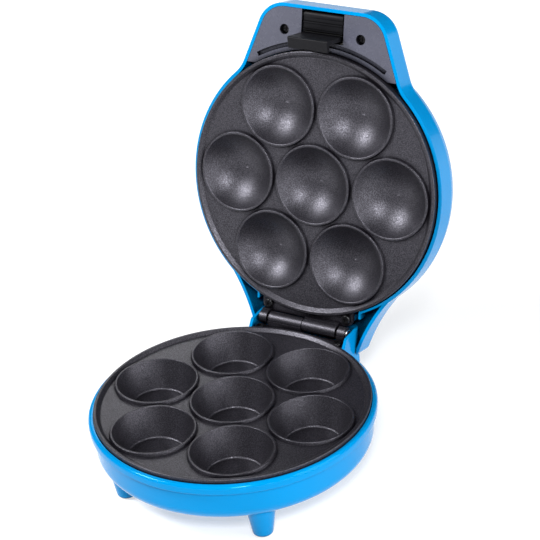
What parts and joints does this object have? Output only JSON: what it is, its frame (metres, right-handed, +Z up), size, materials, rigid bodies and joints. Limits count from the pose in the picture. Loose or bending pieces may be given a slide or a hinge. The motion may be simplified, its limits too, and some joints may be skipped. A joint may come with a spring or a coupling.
{
  "type": "mini cake maker",
  "caption": "Round countertop cake maker: hinged lid with domed plate over a cupped cooking plate, front handle with latch, on moulded feet.",
  "frame": {"origin": "centre of the bounding box of the open cake maker, on the plane of its feet", "axes": "+Z up, +Y towards the hinge at the rear, -Y towards the user, +X to the user's right"},
  "size_m": [0.1976, 0.2806, 0.2777],
  "materials": {
    "blue_shell": "high gloss moulded heat-resistant plastic",
    "nonstick": "die-cast aluminium with a dark speckled non-stick coating",
    "dark_cover": "satin dark grey plastic",
    "latch_black": "satin black plastic",
    "steel": "plain steel",
    "dark_steel": "blackened steel",
    "element_tube": "oxidised steel tube",
    "sheet": "bright aluminium sheet",
    "rubber": "matte black rubber",
    "ceramic": "off-white heat-resistant moulding",
    "red_lens": "clear red plastic",
    "green_lens": "clear green plastic",
    "lamp_glass": "clear glass envelope"
  },
  "bodies": {
    "base": {"base_housing": "blue_shell", "feet": "blue_shell", "lower_cook_plate": "nonstick", "lower_plate_screws": "dark_steel", "base_screws": "steel", "foot_pads": "rubber", "cord_bush": "rubber", "hinge_pin": "steel", "lower_heating_element": "element_tube", "lower_element_clips": "steel", "lower_clip_screws": "steel", "lower_heat_reflector": "sheet", "thermostat": "ceramic", "thermal_fuse": "steel", "terminal_block": "ceramic"},
    "lid": {"lid_housing": "blue_shell", "upper_cook_plate": "nonstick", "upper_plate_screws": "dark_steel", "upper_heating_element": "element_tube", "upper_element_clips": "steel", "upper_clip_screws": "steel", "upper_heat_reflector": "sheet", "handle_cover": "dark_cover", "handle_cover_screws": "dark_steel", "latch_pin": "steel", "latch_spring": "steel", "power_lamp_lens": "red_lens", "ready_lamp_lens": "green_lens", "neon_lamps": "lamp_glass", "lamp_holder": "ceramic"},
    "latch": {"latch": "latch_black"}
  },
  "joints": [
    {"name": "lid_hinge", "type": "hinge", "parent": "base", "child": "lid", "pos_m": [0, 0.06174, 0.0564], "axis": [1, 0, 0], "range_deg": [0, 103.4]},
    {"name": "latch_turn", "type": "hinge", "parent": "lid", "child": "latch", "pos_m": [0, 0.12255, 0.27023], "axis": [1, 0, 0], "range_deg": [-20, 4], "stiffness_Nm_per_rad": 0.2}
  ]
}
